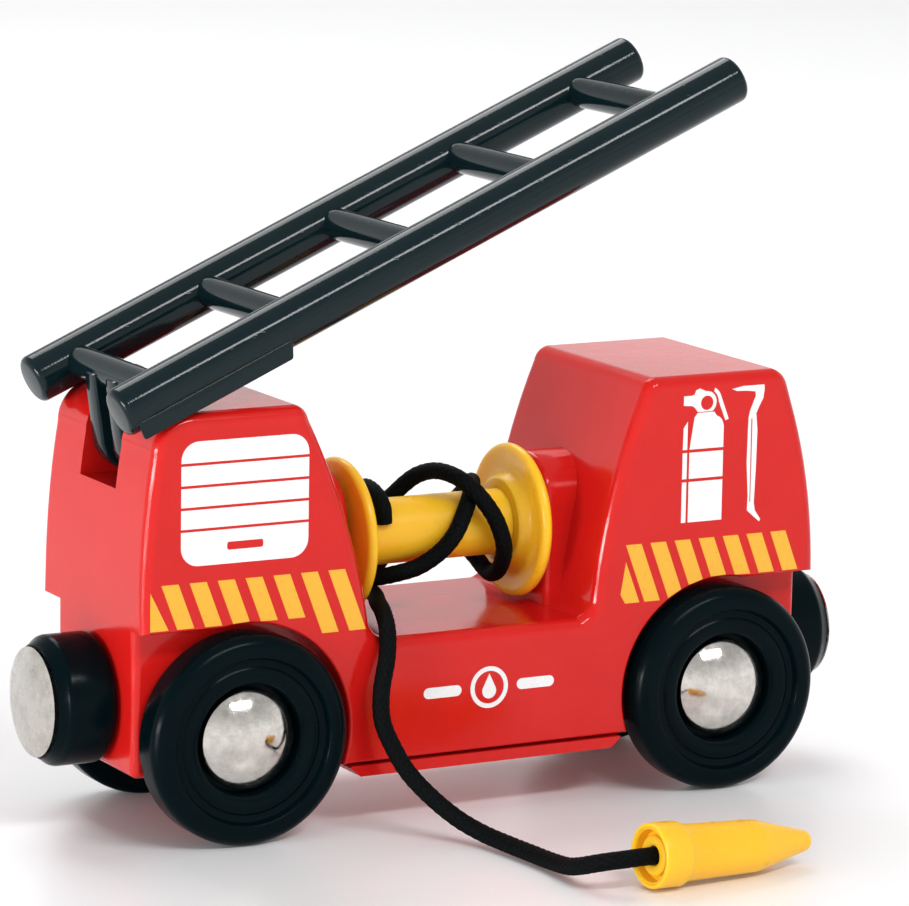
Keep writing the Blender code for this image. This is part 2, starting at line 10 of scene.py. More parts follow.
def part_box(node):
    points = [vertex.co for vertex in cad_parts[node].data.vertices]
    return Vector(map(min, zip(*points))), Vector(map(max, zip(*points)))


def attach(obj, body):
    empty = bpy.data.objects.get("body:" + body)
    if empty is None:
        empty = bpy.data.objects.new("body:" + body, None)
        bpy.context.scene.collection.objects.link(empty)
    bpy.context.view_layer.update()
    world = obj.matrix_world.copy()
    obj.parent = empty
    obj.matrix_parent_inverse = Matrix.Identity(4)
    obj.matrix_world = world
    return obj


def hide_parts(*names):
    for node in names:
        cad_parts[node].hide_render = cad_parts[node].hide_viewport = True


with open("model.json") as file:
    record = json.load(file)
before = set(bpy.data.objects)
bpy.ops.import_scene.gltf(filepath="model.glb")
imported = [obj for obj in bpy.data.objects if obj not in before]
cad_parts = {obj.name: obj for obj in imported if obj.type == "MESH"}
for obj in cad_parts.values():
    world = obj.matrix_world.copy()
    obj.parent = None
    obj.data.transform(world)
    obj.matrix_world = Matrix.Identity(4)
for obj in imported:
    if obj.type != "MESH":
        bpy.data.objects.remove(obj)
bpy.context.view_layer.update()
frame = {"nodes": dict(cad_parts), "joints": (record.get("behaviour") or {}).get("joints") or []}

MM = 0.001

# ---- places read from the frame ---------------------------------------------
JOINTS = {j["name"]: j for j in frame["joints"]}
PIVOT = Vector(JOINTS["ladder_tilt"]["pos_m"])
REEL_AXIS = Vector(JOINTS["reel_spin"]["pos_m"])
AXLES = {end: Vector(JOINTS[f"{end}_wheels_spin"]["pos_m"]) for end in ("rear", "front")}
BODY_LOW, BODY_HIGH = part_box("body_shell")
REEL_REAR_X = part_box("reel_spool")[0].x
REEL_FRONT_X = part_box("reel_flange")[1].x
FLANGE_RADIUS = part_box("reel_flange")[1].y
SLEEVE_LOW, SLEEVE_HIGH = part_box("front_coupling_sleeve")
FACE_LOW, FACE_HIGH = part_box("front_coupling_face")
CAP_LOW, CAP_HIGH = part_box("front_hub_cap_left")
WHEEL_LOW, WHEEL_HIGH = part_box("front_wheel_left")

HALF_WIDTH = BODY_HIGH.y
SKIRT_Z = BODY_LOW.z
TOP_Z = BODY_HIGH.z
END_X = BODY_HIGH.x
WHEEL_RADIUS = AXLES["front"].z
HALF_BASE = AXLES["front"].x
COUPLING_Z = (SLEEVE_LOW.z + SLEEVE_HIGH.z) / 2

# ---- the part's own dimensions that a box doesn't give ----------------------
FOOT_Z = 0.0234             # underside of the towers
DECK_Z = 0.0205
CORE_HALF_WIDTH = 0.0097    # narrow part between the wheels
CORE_HALF_LENGTH = 0.0407
ARCH_RADIUS = 0.0123
CORNER_RADIUS = 0.0044      # rear tower's top corner, round the ladder's pivot
REAR_FOOT_X = 0.0143        # feet and tops of the two tower faces towards the reel
REAR_TOP_X = 0.0217
FRONT_FOOT_X = 0.0130
FRONT_TOP_X = 0.01875
BODY_ROUND = 0.0013         # rounding of the sides' edges
REAR_PILLAR_X = -0.0181     # where the reel's pillars run into the towers
FRONT_PILLAR_X = 0.0166
PILLAR_GAP = 0.0008         # between a pillar and the reel
PILLAR_HALF_WIDTH = 0.0052
SPINDLE_RADIUS = 0.0036
LADDER_TILT = math.radians(23.6)
PIVOT_TO_RAIL = 0.00735
RAIL_RADIUS = 0.00265
RAIL_Y = 0.0110
LADDER_TAIL = 0.0053
LADDER_HEAD = 0.0747
RUNG_PITCH = 0.01655
RUNG_RADIUS = 0.00172
RUNGS = 5
HOSE_RADIUS = 0.00095
NOZZLE_START = Vector((0.0002, -0.0466, 0.00362))
NOZZLE_TIP = Vector((0.0204, -0.0452, 0.0027))
PRINT_PROUD = 0.00004       # thickness of the printed ink

# Hose wound on the reel: along X, angle up from the side that faces -Y, radius.
HOSE_WOUND = [
    (-0.0081, 26, 0.00370), (-0.0083, 46, 0.00480), (-0.0084, 70, 0.00495),
    (-0.0083, 98, 0.00495), (-0.0079, 126, 0.00480), (-0.0068, 150, 0.00465),
    (-0.0044, 172, 0.00460), (-0.0012, 188, 0.00460), (0.0022, 202, 0.00465),
    (0.0047, 215, 0.00480), (0.0060, 229, 0.00490), (0.0065, 244, 0.00505),
    (0.0066, 262, 0.00535), (0.0065, 282, 0.00570), (0.0063, 304, 0.00565),
    (0.0060, 330, 0.00550), (0.0055, 350, 0.00550), (0.0046, 373, 0.00560),
    (0.0036, 390, 0.00590), (0.0025, 405, 0.00630), (0.0014, 420, 0.00650),
    (0.0005, 438, 0.00630), (-0.0002, 456, 0.00610), (-0.0010, 476, 0.00590),
    (-0.0019, 491, 0.00560), (-0.0028, 506, 0.00540), (-0.0036, 520, 0.00560),
    (-0.0043, 534, 0.00650), (-0.0050, 548, 0.00680), (-0.0058, 566, 0.00640),
    (-0.0071, 590, 0.00550), (-0.0086, 612, 0.00500), (-0.0088, 632, 0.00495),
    (-0.0080, 648, 0.00500), (-0.0062, 668, 0.00520), (-0.0042, 678, 0.00520),
    (-0.0024, 692, 0.00500), (-0.0010, 708, 0.00490), (0.0002, 726, 0.00480),
    (0.0014, 748, 0.00465), (0.0027, 772, 0.00460), (0.0040, 798, 0.00460),
    (0.0051, 826, 0.00460), (0.0056, 850, 0.00470), (0.0053, 872, 0.00485),
    (0.0040, 890, 0.00530), (0.0020, 906, 0.00620), (-0.0006, 921, 0.00670),
    (-0.0034, 937, 0.00690), (-0.0058, 953, 0.00680), (-0.0074, 970, 0.00670),
]

# Hose from the reel over the deck's edge to the floor and into the nozzle.
HOSE_FREE = [
    (-0.0085, -0.0022, 0.02290), (-0.0100, -0.0058, 0.02290), (-0.0114, -0.0097, 0.02270),
    (-0.0126, -0.0130, 0.02150), (-0.0135, -0.0147, 0.01900), (-0.0144, -0.0153, 0.01570),
    (-0.0145, -0.0157, 0.01260), (-0.0137, -0.0164, 0.01000), (-0.0124, -0.0178, 0.00710),
    (-0.0106, -0.0198, 0.00465), (-0.0087, -0.0220, 0.00270), (-0.0070, -0.0246, 0.00150),
    (-0.0061, -0.0284, 0.00115), (-0.0056, -0.0324, 0.00110), (-0.0053, -0.0362, 0.00115),
    (-0.0053, -0.0398, 0.00150), (-0.0053, -0.0426, 0.00225), (-0.0050, -0.0442, 0.00280),
    (-0.0041, -0.0455, 0.00325), (-0.0026, -0.0463, 0.00350), (-0.0006, -0.0465, 0.00358),
    (0.0016, -0.0465, 0.00356),
]


# ---- materials ---------------------------------------------------------------
def new_material(name, colour, roughness, metallic=0.0):
    made = bpy.data.materials.new(name)
    made.use_nodes = True
    tree = made.node_tree
    shader = tree.nodes["Principled BSDF"]
    shader.inputs["Base Color"].default_value = (*colour, 1.0)
    shader.inputs["Roughness"].default_value = roughness
    shader.inputs["Metallic"].default_value = metallic
    made.diffuse_color = (*colour, 1.0)
    return made, tree, shader


def node(tree, kind, **values):
    made = tree.nodes.new(kind)
    for key, value in values.items():
        if key in made.inputs:
            made.inputs[key].default_value = value
        else:
            setattr(made, key, value)
    return made


def noise(tree, where, scale, detail=3.0, roughness=0.55, stretch=None):
    """Noise value over the piece; stretch squeezes its coordinates along each axis."""
    made = node(tree, "ShaderNodeTexNoise", Scale=scale, Detail=detail, Roughness=roughness)
    source = where
    if stretch:
        mapping = node(tree, "ShaderNodeMapping", Scale=stretch)
        tree.links.new(where, mapping.inputs["Vector"])
        source = mapping.outputs["Vector"]
    tree.links.new(source, made.inputs["Vector"])
    return made.outputs["Fac"]


def ramp(tree, value, low, high, low_at=0.3, high_at=0.7):
    """Value remapped to run from low to high."""
    made = node(tree, "ShaderNodeMapRange")
    made.inputs["From Min"].default_value = low_at
    made.inputs["From Max"].default_value = high_at
    made.inputs["To Min"].default_value = low
    made.inputs["To Max"].default_value = high
    tree.links.new(value, made.inputs["Value"])
    return made.outputs["Result"]


def tint(tree, value, first, second):
    """Blend from the first colour to the second, by a value from 0 to 1."""
    made = node(tree, "ShaderNodeMix", data_type="RGBA")
    for socket in made.inputs:
        if socket.identifier == "A_Color":
            socket.default_value = (*first, 1.0)
        if socket.identifier == "B_Color":
            socket.default_value = (*second, 1.0)
    tree.links.new(value, made.inputs[0])
    return [out for out in made.outputs if out.identifier == "Result_Color"][0]


def bump(tree, shader, height, distance, strength=1.0, below=None):
    made = node(tree, "ShaderNodeBump", Strength=strength, Distance=distance)
    tree.links.new(height, made.inputs["Height"])
    if below:
        tree.links.new(below, made.inputs["Normal"])
    tree.links.new(made.outputs["Normal"], shader.inputs["Normal"])
    return made.outputs["Normal"]


def scuffs(tree, where):
    """Fine handling scratches: thin streaks in two directions, 0 to 1."""
    made = node(tree, "ShaderNodeMath", operation="MAXIMUM")
    for number, squeeze in enumerate(((300.0, 4000.0, 5200.0), (5200.0, 3800.0, 350.0))):
        streak = noise(tree, where, 1.0, 1.0, 0.4, squeeze)
        tree.links.new(ramp(tree, streak, 0.0, 1.0, 0.70, 0.78), made.inputs[number])
    return made.outputs[0]


def plastic(name, colour, shade, roughness=0.2, peel=0.000004, specular=0.5,
            translucency=0.0):
    """Moulded plastic: soft colour drift, slow waviness from the mould, fine peel and scuffs."""
    made, tree, shader = new_material(name, colour, roughness)
    where = node(tree, "ShaderNodeTexCoord").outputs["Object"]
    drift = noise(tree, where, 140.0, 4.0)
    tree.links.new(tint(tree, ramp(tree, drift, 0.0, 1.0), colour, shade), shader.inputs["Base Color"])
    marks = scuffs(tree, where)
    patch = ramp(tree, noise(tree, where, 420.0, 5.0), roughness * 0.8, roughness * 1.3)
    total = node(tree, "ShaderNodeMath", operation="MULTIPLY_ADD")
    total.inputs[1].default_value = 0.10
    tree.links.new(marks, total.inputs[0])
    tree.links.new(patch, total.inputs[2])
    tree.links.new(total.outputs[0], shader.inputs["Roughness"])
    slow = bump(tree, shader, noise(tree, where, 260.0, 2.0), 0.00003, 0.5)
    fine = bump(tree, shader, noise(tree, where, 3800.0, 2.0), peel, 1.0, slow)
    bump(tree, shader, marks, -0.000004, 1.0, fine)
    shader.inputs["IOR"].default_value = 1.5
    shader.inputs["Specular IOR Level"].default_value = specular
    shader.inputs["Subsurface Weight"].default_value = translucency
    shader.inputs["Subsurface Radius"].default_value = (1.0, 0.55, 0.12)
    shader.inputs["Subsurface Scale"].default_value = 0.003
    return made


def polished_metal(name, colour, roughness, mottle=0.3, cloud_scale=2400.0):
    """Plated metal with faint polishing grain, small pits and cloudy spots."""
    made, tree, shader = new_material(name, colour, roughness, 1.0)
    where = node(tree, "ShaderNodeTexCoord").outputs["Object"]
    cloud = noise(tree, where, cloud_scale, 5.0, 0.75)
    dark = tuple(c * (1.0 - mottle) for c in colour)
    tree.links.new(tint(tree, ramp(tree, cloud, 0.0, 1.0, 0.36, 0.60), dark, colour),
                   shader.inputs["Base Color"])
    patch = ramp(tree, noise(tree, where, 1400.0, 4.0), roughness * 0.6, roughness * 1.8)
    tree.links.new(patch, shader.inputs["Roughness"])
    fine = bump(tree, shader, noise(tree, where, 2600.0, 3.0, 0.6), 0.000006, 1.0)
    bump(tree, shader, noise(tree, where, 420.0, 2.0), 0.00003, 0.6, fine)
    return made


def ink(name, colour, shade):
    """Screen-printed ink: slightly uneven cover, semi-gloss."""
    made, tree, shader = new_material(name, colour, 0.32)
    where = node(tree, "ShaderNodeTexCoord").outputs["Object"]
    speck = noise(tree, where, 5200.0, 3.0, 0.7)
    tree.links.new(tint(tree, ramp(tree, speck, 0.0, 1.0, 0.25, 0.5), shade, colour),
                   shader.inputs["Base Color"])
    tree.links.new(ramp(tree, noise(tree, where, 1500.0, 3.0), 0.24, 0.42), shader.inputs["Roughness"])
    bump(tree, shader, speck, 0.000006)
    return made


def braid_material():
    """Black braided cord: matt fibres, with a painted sheen on the strands' crowns: lighter grey flecks,
    spread at random, only where a strand rides high.
    """
    made, tree, shader = new_material("hose_braid", (0.004, 0.004, 0.005), 0.7)
    uv = node(tree, "ShaderNodeTexCoord").outputs["UV"]
    where = node(tree, "ShaderNodeTexCoord").outputs["Object"]
    crown = node(tree, "ShaderNodeAttribute", attribute_name="crown").outputs["Fac"]
    fuzz = noise(tree, where, 7000.0, 3.0, 0.7)
    threads = noise(tree, uv, 1.0, 2.0, 0.6, (60.0, 5.0, 1.0))
    # painted sheen: lighter grey only on the raised crowns of the strands, broken into random flecks by
    # the fuzz noise
    painted_crown_sheen = node(tree, "ShaderNodeMath", operation="MULTIPLY")
    tree.links.new(ramp(tree, crown, 0.0, 1.0, 0.5, 1.0), painted_crown_sheen.inputs[0])
    tree.links.new(ramp(tree, fuzz, 0.0, 1.0, 0.50, 0.68), painted_crown_sheen.inputs[1])
    tree.links.new(tint(tree, painted_crown_sheen.outputs[0], (0.0004, 0.0012, 0.0015), (0.012, 0.017, 0.019)),
                   shader.inputs["Base Color"])
    tree.links.new(ramp(tree, fuzz, 0.55, 0.85), shader.inputs["Roughness"])
    first = bump(tree, shader, threads, 0.00004, 0.8)
    bump(tree, shader, fuzz, 0.00005, 0.8, first)
    shader.inputs["Specular IOR Level"].default_value = 0.08
    return made


def floor_material():
    """Pale, slightly glossy studio floor."""
    made, tree, shader = new_material("studio_floor", (0.93, 0.93, 0.94), 0.30)
    where = node(tree, "ShaderNodeTexCoord").outputs["Object"]
    tree.links.new(ramp(tree, noise(tree, where, 900.0), 0.28, 0.31), shader.inputs["Roughness"])
    shader.inputs["Specular IOR Level"].default_value = 0.5
    return made


MATERIALS = {
    "red": plastic("red_plastic", (0.61, 0.011, 0.009), (0.57, 0.009, 0.007), 0.12, specular=0.30),
    "black": plastic("black_plastic", (0.0003, 0.0038, 0.0053), (0.0007, 0.0050, 0.0066), 0.20,
                     specular=0.05),
    "ladder": plastic("ladder_plastic", (0.0020, 0.0095, 0.0120), (0.0030, 0.0115, 0.0140), 0.08,
                      specular=0.23),
    "yellow": plastic("yellow_plastic", (0.95, 0.53, 0.022), (0.93, 0.50, 0.018), 0.30,
                      specular=0.35, translucency=0.35),
    "chrome": polished_metal("cap_chrome", (0.70, 0.665, 0.62), 0.10, 0.22, 900.0),
    "face": polished_metal("coupling_face_metal", (0.56, 0.535, 0.49), 0.20, 0.28, 260.0),
    "steel": polished_metal("pin_steel", (0.55, 0.55, 0.56), 0.30),
    "magnet": polished_metal("magnet_grey", (0.16, 0.16, 0.17), 0.45),
    "white_ink": ink("white_ink", (0.84, 0.84, 0.85), (0.72, 0.70, 0.70)),
    "yellow_ink": ink("yellow_ink", (0.83, 0.42, 0.027), (0.78, 0.37, 0.023)),
    "braid": braid_material(),
}


# ---- tools -------------------------------------------------------------------
def add_piece(name, mesh, finish, body, stands_for=(), sharp=32.0, flat_faces=False):
    """Put a finished mesh in the scene, on its body, in place of CAD nodes."""
    mesh.materials.clear()
    mesh.materials.append(MATERIALS[finish])
    mesh.shade_smooth()
    mesh.set_sharp_from_angle(angle=math.radians(sharp))
    made = bpy.data.objects.new(name, mesh)
    bpy.context.scene.collection.objects.link(made)
    if flat_faces:
        weighted = made.modifiers.new("flat_faces", "WEIGHTED_NORMAL")
        weighted.keep_sharp = True
        weighted.weight = 90
    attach(made, body)
    if stands_for:
        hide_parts(*stands_for)
    return made


def mesh_of(bm, name="piece"):
    bmesh.ops.recalc_face_normals(bm, faces=bm.faces)
    mesh = bpy.data.meshes.new(name)
    bm.to_mesh(mesh)
    bm.free()
    return mesh


def arc(cx, cz, radius, start, end, steps):
    """Points of an arc, angles in degrees from the first axis."""
    angles = [math.radians(start + (end - start) * i / steps) for i in range(steps + 1)]
    return [(cx + radius * math.cos(a), cz + radius * math.sin(a)) for a in angles]


def bulged(start, end, rise, steps):
    """Points from start to end on a shallow curve that rises to the left of the chord."""
    ax, az = start
    bx, bz = end
    length = math.hypot(bx - ax, bz - az)
    nx, nz = -(bz - az) / length, (bx - ax) / length
    points = []
    for i in range(steps + 1):
        t = i / steps
        lift = rise * 4.0 * t * (1.0 - t)
        points.append((ax + (bx - ax) * t + nx * lift, az + (bz - az) * t + nz * lift))
    return points


def rounded(points, radius, steps=4):
    """A closed outline with its corners turned into arcs."""
    result = []
    count = len(points)
    for i, corner in enumerate(points):
        here = Vector(corner)
        before = Vector(points[i - 1]) - here
        after = Vector(points[(i + 1) % count]) - here
        turn = math.pi - before.angle(after)
        reach = min(radius * math.tan(turn / 2), before.length * 0.45, after.length * 0.45)
        first, last = here + before.normalized() * reach, here + after.normalized() * reach
        for k in range(steps + 1):
            t = k / steps
            bent = first * (1 - t) ** 2 + here * 2 * t * (1 - t) + last * t * t
            result.append((bent.x, bent.y))
    return result


def weighted_bevel(bm, weight_of, width, segments):
    """Round the edges to which weight_of gives a share of the width."""
    layer = bm.edges.layers.float.new("bevel_weight_edge")
    for edge in bm.edges:
        edge[layer] = weight_of(edge)
    mesh = mesh_of(bm, "bevelled")
    holder = bpy.data.objects.new("bevelled", mesh)
    bpy.context.scene.collection.objects.link(holder)
    step = holder.modifiers.new("round", "BEVEL")
    step.limit_method = "WEIGHT"
    step.width = width
    step.segments = segments
    step.use_clamp_overlap = False
    bpy.context.view_layer.update()
    result = bpy.data.meshes.new_from_object(
        holder.evaluated_get(bpy.context.evaluated_depsgraph_get()))
    bpy.data.objects.remove(holder, do_unlink=True)
    return result


def extruded(outline, low, high, axis="Y"):
    """A bmesh prism: an XZ outline along Y, or a YZ outline along X."""
    bm = bmesh.new()
    if axis == "Y":
        verts = [bm.verts.new((a, low, b)) for a, b in outline]
        way = Vector((0.0, high - low, 0.0))
    else:
        verts = [bm.verts.new((low, a, b)) for a, b in outline]
        way = Vector((high - low, 0.0, 0.0))
    face = bm.faces.new(verts)
    grown = bmesh.ops.extrude_face_region(bm, geom=[face])["geom"]
    moved = [v for v in grown if isinstance(v, bmesh.types.BMVert)]
    bmesh.ops.translate(bm, verts=moved, vec=way)
    return bm


def on_rim(edge, axis="Y"):
    """True for an edge that lies in one of a prism's two end faces."""
    index = 1 if axis == "Y" else 0
    return abs(edge.verts[0].co[index] - edge.verts[1].co[index]) < 1e-7


def prism(outline, low, high, edge_round, segments=4, axis="Y"):
    bm = extruded(outline, low, high, axis)
    if edge_round > 0.0:
        return weighted_bevel(bm, lambda edge: float(on_rim(edge, axis)), edge_round, segments)
    return mesh_of(bm)


def block(low, high, edge_round=0.0, segments=3):
    bm = bmesh.new()
    bmesh.ops.create_cube(bm, size=1.0)
    bmesh.ops.scale(bm, verts=bm.verts, vec=Vector(high) - Vector(low))
    bmesh.ops.translate(bm, verts=bm.verts, vec=(Vector(high) + Vector(low)) / 2)
    if edge_round > 0.0:
        bmesh.ops.bevel(bm, geom=list(bm.edges), offset=edge_round, segments=segments,
                        profile=0.5, affect="EDGES")
    return mesh_of(bm)


def turned(profile, axis, place, steps=72):
    """Turn a (radius, height) profile about an axis through a place."""
    bm = bmesh.new()
    verts = [bm.verts.new((r, 0.0, h)) for r, h in profile]
    on_axis = profile[0][0] < 1e-9 and profile[-1][0] < 1e-9
    pairs = list(zip(verts, verts[1:]))
    if not on_axis:
        pairs.append((verts[-1], verts[0]))
    edges = [bm.edges.new(pair) for pair in pairs]
    bmesh.ops.spin(bm, geom=verts + edges, cent=(0, 0, 0), axis=(0, 0, 1),
                   angle=2.0 * math.pi, steps=steps, use_merge=True)
    bmesh.ops.remove_doubles(bm, verts=bm.verts, dist=2e-6)
    turn = Vector((0, 0, 1)).rotation_difference(Vector(axis)).to_matrix()
    bmesh.ops.rotate(bm, verts=bm.verts, cent=(0, 0, 0), matrix=turn)
    bmesh.ops.translate(bm, verts=bm.verts, vec=place)
    return mesh_of(bm)


def bar(radius, start, end, fillet=0.0, steps=40):
    """Round bar between two points with rounded rims."""
    start, end = Vector(start), Vector(end)
    length = (end - start).length
    profile = [(0.0, 0.0)]
    if fillet > 0.0:
        profile += arc(radius - fillet, fillet, fillet, -90, 0, 5)
        profile += arc(radius - fillet, length - fillet, fillet, 0, 90, 5)
    else:
        profile += [(radius, 0.0), (radius, length)]
    profile.append((0.0, length))
    return turned(profile, (end - start).normalized(), start, steps)


def joined(meshes):
    """Several meshes as one mesh, left as they are."""
    bm = bmesh.new()
    for mesh in meshes:
        bm.from_mesh(mesh)
        bpy.data.meshes.remove(mesh)
    whole = bpy.data.meshes.new("joined")
    bm.to_mesh(whole)
    bm.free()
    return whole


def boolean(mesh, tool, operation):
    """Apply one Boolean between two meshes and return the result."""
    objects = [bpy.data.objects.new("step", m) for m in (mesh, tool)]
    for item in objects:
        bpy.context.scene.collection.objects.link(item)
    step = objects[0].modifiers.new("combine", "BOOLEAN")
    step.object = objects[1]
    step.operation = operation
    step.solver = "EXACT"
    bpy.context.view_layer.update()
    result = bpy.data.meshes.new_from_object(
        objects[0].evaluated_get(bpy.context.evaluated_depsgraph_get()))
    for item in objects:
        bpy.data.objects.remove(item, do_unlink=True)
    return result


# ---- camera ------------------------------------------------------------------
CAMERA_PLACE = (-0.2506, -0.4619, 0.1349)
CAMERA_TURN = (28.70, -10.61, 0.995)    # yaw from +Y towards +X, pitch, roll
CAMERA_LENS = 194.2
CAMERA_SHIFT = 0.011


def add_camera():
    """Long lens, low three-quarter view of the rear right corner."""
    yaw, pitch, roll = (math.radians(angle) for angle in CAMERA_TURN)
    look = Vector((math.sin(yaw) * math.cos(pitch), math.cos(yaw) * math.cos(pitch), math.sin(pitch)))
    side = Vector((math.cos(yaw), -math.sin(yaw), 0.0))
    up = side.cross(look)
    right = side * math.cos(roll) + up * math.sin(roll)
    top = up * math.cos(roll) - side * math.sin(roll)
    data = bpy.data.cameras.new("camera")
    data.sensor_width = 36.0
    data.lens = CAMERA_LENS
    data.shift_y = CAMERA_SHIFT
    data.clip_start = 0.01
    camera = bpy.data.objects.new("camera", data)
    bpy.context.scene.collection.objects.link(camera)
    turn = Matrix((right, top, -look)).transposed()
    camera.matrix_world = Matrix.Translation(CAMERA_PLACE) @ turn.to_4x4()
    bpy.context.scene.camera = camera


# ---- hose --------------------------------------------------------------------
def wound_point(x, angle, radius):
    a = math.radians(angle)
    return Vector((x, -radius * math.cos(a), REEL_AXIS.z + radius * math.sin(a)))


def smooth_route(points, spacing):
    """Points at even spacing along a Catmull-Rom curve through the given ones."""
    padded = [points[0] * 2 - points[1]] + points + [points[-1] * 2 - points[-2]]
    fine = []
    for i in range(1, len(padded) - 2):
        a, b, c, d = padded[i - 1:i + 3]
        for k in range(24):
            t = k / 24
            fine.append(0.5 * (2 * b + (c - a) * t + (2 * a - 5 * b + 4 * c - d) * t * t
                               + (3 * b - a - 3 * c + d) * t ** 3))
    fine.append(points[-1])
    lengths = [0.0]
    for p, q in zip(fine, fine[1:]):
        lengths.append(lengths[-1] + (q - p).length)
    count = max(2, round(lengths[-1] / spacing))
    route, j = [], 0
    for n in range(count + 1):
        want = lengths[-1] * n / count
        while j < len(lengths) - 2 and lengths[j + 1] < want:
            j += 1
        span = lengths[j + 1] - lengths[j]
        route.append(fine[j].lerp(fine[j + 1], (want - lengths[j]) / span if span else 0.0))
    return route


def braid_height(around, along):
    """Height of the braid, 0 to 1: strands of two helices that pass over each other in turn."""
    strands, pitch = 9, 0.0088
    a, b = strands * (around + along / pitch), strands * (around - along / pitch)
    u, v = (a % 1.0) * 2 - 1, (b % 1.0) * 2 - 1
    if (math.floor(a) + math.floor(b)) % 2:
        u, v = v, u
    return (1 - u * u) ** 0.6 * (1 - v ** 4) ** 0.6


def hose():
    """Tube along the route with the braid raised in its mesh; the strands' height is kept as crown."""
    around, spacing, depth = 36, 0.00018, 0.00010
    points = [wound_point(*turn) for turn in HOSE_WOUND] + [Vector(p) for p in HOSE_FREE]
    route = smooth_route(points, spacing)
    length = sum((b - a).length for a, b in zip(route, route[1:]))
    step = length / (len(route) - 1)
    bm = bmesh.new()
    uv = bm.loops.layers.uv.new("UVMap")
    crown = bm.verts.layers.float.new("crown")
    across = (route[1] - route[0]).orthogonal().normalized()
    rings = []
    for i, point in enumerate(route):
        ahead = (route[min(i + 1, len(route) - 1)] - route[max(i - 1, 0)]).normalized()
        across = (across - ahead * across.dot(ahead)).normalized()
        other = ahead.cross(across)
        ring = []
        for k in range(around):
            angle = 2.0 * math.pi * k / around
            height = braid_height(k / around, i * step)
            out = across * math.cos(angle) + other * math.sin(angle)
            vert = bm.verts.new(point + out * (HOSE_RADIUS - depth * (1.0 - height)))
            vert[crown] = height
            ring.append(vert)
        rings.append(ring)
    for i in range(len(rings) - 1):
        for k in range(around):
            n = (k + 1) % around
            face = bm.faces.new((rings[i][k], rings[i][n], rings[i + 1][n], rings[i + 1][k]))
            corners = ((k, i), (k + 1, i), (k + 1, i + 1), (k, i + 1))
            for loop, (c, r) in zip(face.loops, corners):
                loop[uv].uv = (c / around, r * step / (2.0 * math.pi * HOSE_RADIUS))
    bm.faces.new(list(reversed(rings[0])))
    bm.faces.new(rings[-1])
    made = add_piece("braided_hose", mesh_of(bm), "braid", "chassis", ["hose"], 80.0)
    return made, route, length


def nozzle():
    """Hose nozzle: lipped collar with a cupped back, barrel and blunt taper."""
    axis = (NOZZLE_TIP - NOZZLE_START).normalized()
    length = (NOZZLE_TIP - NOZZLE_START).length
    profile = [(0.0, 0.0030), (0.00105, 0.0030), (0.00105, 0.0006), (0.0013, 0.0004), (0.0019, 0.0004),
               (0.0021, 0.0006), (0.0021, 0.0013), (0.0027, 0.0013), (0.00275, 0.0002)]
    profile += arc(0.00315, 0.00025, 0.00025, 180, 360, 6)
    profile += arc(0.00305, 0.0031, 0.00035, 0, 80, 5)
    profile += [(0.00302, 0.0036), (0.00296, 0.0046), (0.00287, 0.0080), (0.00279, 0.0118)]
    profile += arc(0.0010, 0.0128, 0.00176, 10, 18, 3)
    tip = 0.00095
    profile += arc(0.0002, length - tip, tip, 14, 90, 8)[:-1]
    profile.append((0.0, length))
    return add_piece("nozzle_body", turned(profile, axis, NOZZLE_START, 64), "yellow", "chassis",
                     ["hose_nozzle"], 40.0)


# ---- body --------------------------------------------------------------------
def inner_slope(sign, foot_x, top_x):
    """Slightly bulged face of a tower towards the reel."""
    return bulged((sign * foot_x, 0.0222), (sign * top_x, TOP_Z - 0.0016), sign * 0.0009, 12)


def end_curve(sign, radius, straight_z, top_z):
    """Gently curved outer end of a tower, from its foot up."""
    points = []
    for i in range(13):
        z = FOOT_Z + (top_z - FOOT_Z) * i / 12
        lean = radius - math.sqrt(radius * radius - max(z - straight_z, 0.0) ** 2)
        points.append((sign * (END_X - lean), z))
    return points


def body_outline():
    """Side view of the body: both towers, the deck between them and the wheel arches."""
    outline = end_curve(-1, 0.098, 0.026, PIVOT.z)
    outline += arc(PIVOT.x, PIVOT.z, CORNER_RADIUS, 180, 90, 14)[1:]
    outline += bulged((-REAR_TOP_X - 0.0016, TOP_Z), (-REAR_TOP_X, TOP_Z - 0.0016), 0.00035, 6)[:-1]
    outline += list(reversed(inner_slope(-1, REAR_FOOT_X, REAR_TOP_X)))
    outline += bulged((-REAR_FOOT_X, 0.0222), (-REAR_FOOT_X + 0.0019, DECK_Z), -0.0003, 6)[1:]
    outline += bulged((FRONT_FOOT_X - 0.0019, DECK_Z), (FRONT_FOOT_X, 0.0222), -0.0003, 6)[:-1]
    outline += inner_slope(1, FRONT_FOOT_X, FRONT_TOP_X)
    outline += bulged((FRONT_TOP_X, TOP_Z - 0.0016), (FRONT_TOP_X + 0.0016, TOP_Z), 0.00035, 6)[1:]
    outline += bulged((0.0355, TOP_Z), (0.0374, TOP_Z - 0.0020), 0.0004, 6)
    outline += list(reversed(end_curve(1, 0.057, 0.024, 0.0444)))[1:]
    over = math.degrees(math.asin((FOOT_Z - WHEEL_RADIUS) / ARCH_RADIUS))
    under = math.degrees(math.asin((WHEEL_RADIUS - SKIRT_Z) / ARCH_RADIUS))
    outline += arc(HALF_BASE, WHEEL_RADIUS, ARCH_RADIUS, over, 180 + under, 30)
    outline += arc(-HALF_BASE, WHEEL_RADIUS, ARCH_RADIUS, -under, 180 - over, 30)
    return outline


def upper_body():
    """Towers and skirt as one prism: full rounding up high, crisp edges under the towers."""
    def share(edge):
        if not on_rim(edge):
            return 0.0
        low = max(v.co.z for v in edge.verts) <= WHEEL_RADIUS + ARCH_RADIUS + 1e-4
        deck = min(v.co.z for v in edge.verts) >= DECK_Z - 1e-5
        under = low and not (deck and abs(edge.verts[0].co.x) < 0.0148)
        return 0.25 if under else 1.0

    return weighted_bevel(extruded(body_outline(), -HALF_WIDTH, HALF_WIDTH), share, BODY_ROUND, 6)


